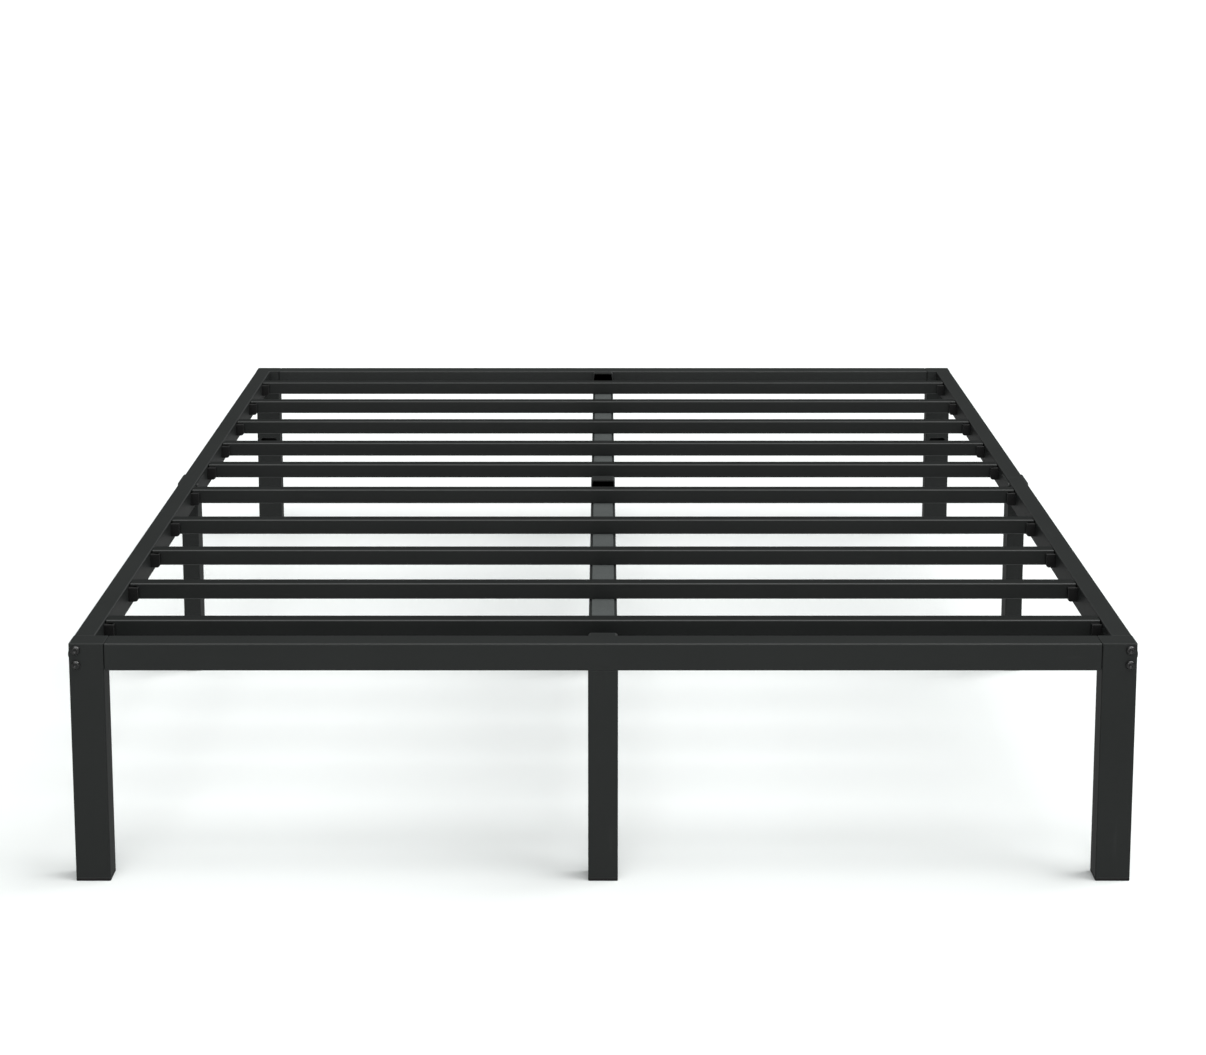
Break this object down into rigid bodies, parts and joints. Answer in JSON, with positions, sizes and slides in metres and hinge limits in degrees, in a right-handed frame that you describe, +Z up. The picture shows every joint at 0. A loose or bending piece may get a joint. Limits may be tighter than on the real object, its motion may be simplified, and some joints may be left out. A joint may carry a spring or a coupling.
{
  "type": "metal bed frame",
  "caption": "Knock-down black steel platform bed frame with drop-in slats, a centre support beam, square legs and slotted head legs for a headboard.",
  "frame": {"origin": "on the floor, below the middle of the frame's plan", "axes": "+Z up from the floor, +Y towards the head end along the bed, +X across the bed"},
  "size_m": [1.5386, 2.04, 0.356],
  "materials": {
    "frame_steel": "satin charcoal powder coat, fine texture",
    "slat_steel": "satin charcoal powder coat, fine texture",
    "sleeve_steel": "satin charcoal powder coat",
    "holder_plastic": "moulded black nylon",
    "glide_plastic": "moulded black plastic",
    "foam_strip": "grey closed-cell foam tape, matt",
    "bolt_black": "black oxide, slightly oily",
    "nut_zinc": "bright zinc plate"
  },
  "bodies": {
    "frame": {"beam_bolts": "bolt_black", "beam_nuts": "nut_zinc", "beam_pad_foot": "foam_strip", "beam_pad_head": "foam_strip", "centre_beam_foot": "frame_steel", "centre_beam_head": "frame_steel", "centre_leg_bolts": "bolt_black", "centre_leg_nuts": "nut_zinc", "end_rail_bolts": "bolt_black", "end_rail_nuts": "nut_zinc", "glide_centre_foot": "glide_plastic", "glide_centre_head": "glide_plastic", "glide_centre_mid": "glide_plastic", "glide_foot_left": "glide_plastic", "glide_foot_right": "glide_plastic", "glide_head_left": "glide_plastic", "glide_head_right": "glide_plastic", "glide_side_left": "glide_plastic", "glide_side_right": "glide_plastic", "leg_centre_foot": "frame_steel", "leg_centre_head": "frame_steel", "leg_centre_mid": "frame_steel", "leg_foot_left": "frame_steel", "leg_foot_right": "frame_steel", "leg_head_left": "frame_steel", "leg_head_right": "frame_steel", "leg_side_left": "frame_steel", "leg_side_right": "frame_steel", "rail_foot": "frame_steel", "rail_head": "frame_steel", "rail_sleeve_left": "sleeve_steel", "rail_sleeve_right": "sleeve_steel", "saddle_bolts": "bolt_black", "saddle_nuts": "nut_zinc", "side_rail_bolts": "bolt_black", "side_rail_foot_left": "frame_steel", "side_rail_foot_right": "frame_steel", "side_rail_head_left": "frame_steel", "side_rail_head_right": "frame_steel", "side_rail_nuts": "nut_zinc", "slat_holders_foot_left": "holder_plastic", "slat_holders_foot_right": "holder_plastic", "slat_holders_head_left": "holder_plastic", "slat_holders_head_right": "holder_plastic"},
    "slat_01": {"slat_01": "slat_steel"},
    "slat_02": {"slat_02": "slat_steel"},
    "slat_03": {"slat_03": "slat_steel"},
    "slat_04": {"slat_04": "slat_steel"},
    "slat_05": {"slat_05": "slat_steel"},
    "slat_06": {"slat_06": "slat_steel"},
    "slat_07": {"slat_07": "slat_steel"},
    "slat_08": {"slat_08": "slat_steel"},
    "slat_09": {"slat_09": "slat_steel"},
    "slat_10": {"slat_10": "slat_steel"}
  },
  "joints": [
    {"name": "slat_01_lift", "type": "slide", "parent": "frame", "child": "slat_01", "axis": [0, 0, 1], "range_m": [0, 0.05]},
    {"name": "slat_02_lift", "type": "slide", "parent": "frame", "child": "slat_02", "axis": [0, 0, 1], "range_m": [0, 0.05]},
    {"name": "slat_03_lift", "type": "slide", "parent": "frame", "child": "slat_03", "axis": [0, 0, 1], "range_m": [0, 0.05]},
    {"name": "slat_04_lift", "type": "slide", "parent": "frame", "child": "slat_04", "axis": [0, 0, 1], "range_m": [0, 0.05]},
    {"name": "slat_05_lift", "type": "slide", "parent": "frame", "child": "slat_05", "axis": [0, 0, 1], "range_m": [0, 0.05]},
    {"name": "slat_06_lift", "type": "slide", "parent": "frame", "child": "slat_06", "axis": [0, 0, 1], "range_m": [0, 0.05]},
    {"name": "slat_07_lift", "type": "slide", "parent": "frame", "child": "slat_07", "axis": [0, 0, 1], "range_m": [0, 0.05]},
    {"name": "slat_08_lift", "type": "slide", "parent": "frame", "child": "slat_08", "axis": [0, 0, 1], "range_m": [0, 0.05]},
    {"name": "slat_09_lift", "type": "slide", "parent": "frame", "child": "slat_09", "axis": [0, 0, 1], "range_m": [0, 0.05]},
    {"name": "slat_10_lift", "type": "slide", "parent": "frame", "child": "slat_10", "axis": [0, 0, 1], "range_m": [0, 0.05]}
  ]
}
